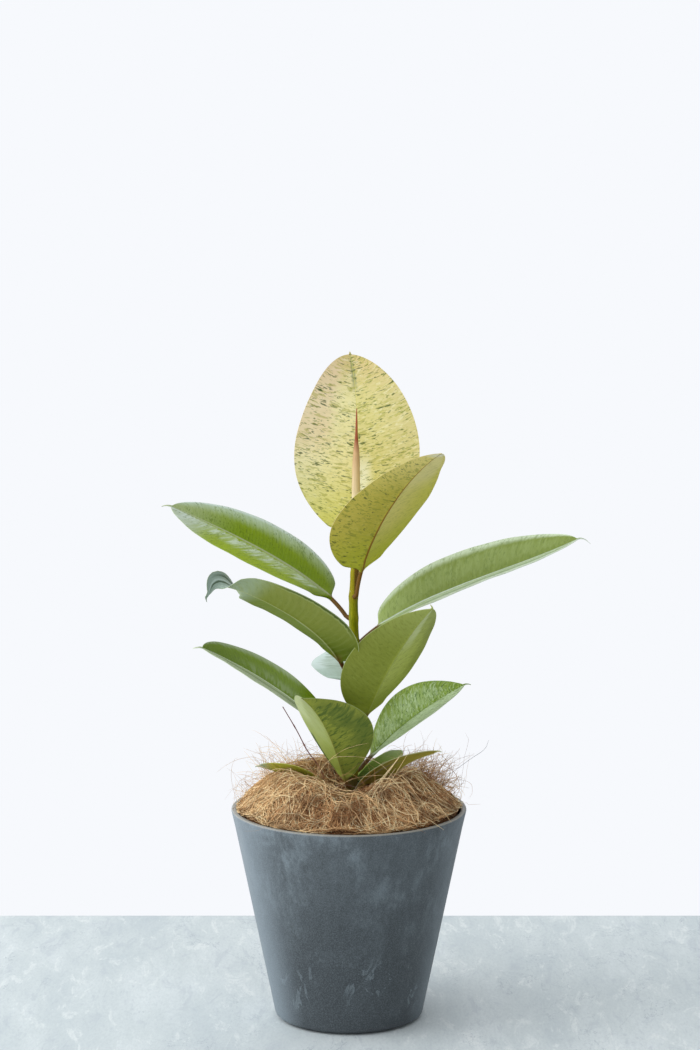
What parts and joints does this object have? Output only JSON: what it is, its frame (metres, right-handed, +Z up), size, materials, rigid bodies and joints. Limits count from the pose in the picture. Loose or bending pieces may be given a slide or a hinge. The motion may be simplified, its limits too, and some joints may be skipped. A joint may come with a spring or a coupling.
{
  "type": "potted ficus",
  "caption": "Young rubber-plant ficus with broad variegated leaves on a single stem, in a tapered slate-grey planter filled with soil under a loose mound of coir fibre.",
  "frame": {"origin": "centre of the pot's flat foot, on the surface it stands on", "axes": "+Z up along the pot's axis, -Y towards the front seen in the picture, +X to the right"},
  "size_m": [0.3531, 0.2258, 0.5414],
  "materials": {
    "slate_grey_resin": "matt, faintly marbled",
    "potting_soil": "rough",
    "coir_fibre": "rough",
    "green_brown_stem": "satin",
    "rose_tan_sheath": "satin",
    "variegated_cream_leaf": "satin",
    "variegated_olive_leaf": "satin",
    "yellow_green_leaf": "glossy",
    "grey_green_leaf": "glossy",
    "olive_green_leaf": "satin",
    "pale_sheen_leaf": "glossy",
    "bright_green_leaf": "glossy",
    "dark_green_leaf": "satin",
    "brownish_green_leaf": "satin"
  },
  "bodies": {
    "root": {"pot": "slate_grey_resin", "soil": "potting_soil", "coir_mulch": "coir_fibre", "stem": "green_brown_stem", "bud_sheath": "rose_tan_sheath", "leaf_top_back": "variegated_cream_leaf", "leaf_top_front": "variegated_olive_leaf", "leaf_upper_left": "yellow_green_leaf", "leaf_upper_right": "grey_green_leaf", "leaf_middle_left": "olive_green_leaf", "leaf_small_back": "pale_sheen_leaf", "leaf_middle_front": "olive_green_leaf", "leaf_lower_left": "grey_green_leaf", "leaf_lower_right": "bright_green_leaf", "leaf_low_front": "olive_green_leaf", "leaf_base_back": "dark_green_leaf", "leaf_base_right": "brownish_green_leaf", "leaf_base_left": "brownish_green_leaf"}
  },
  "joints": []
}
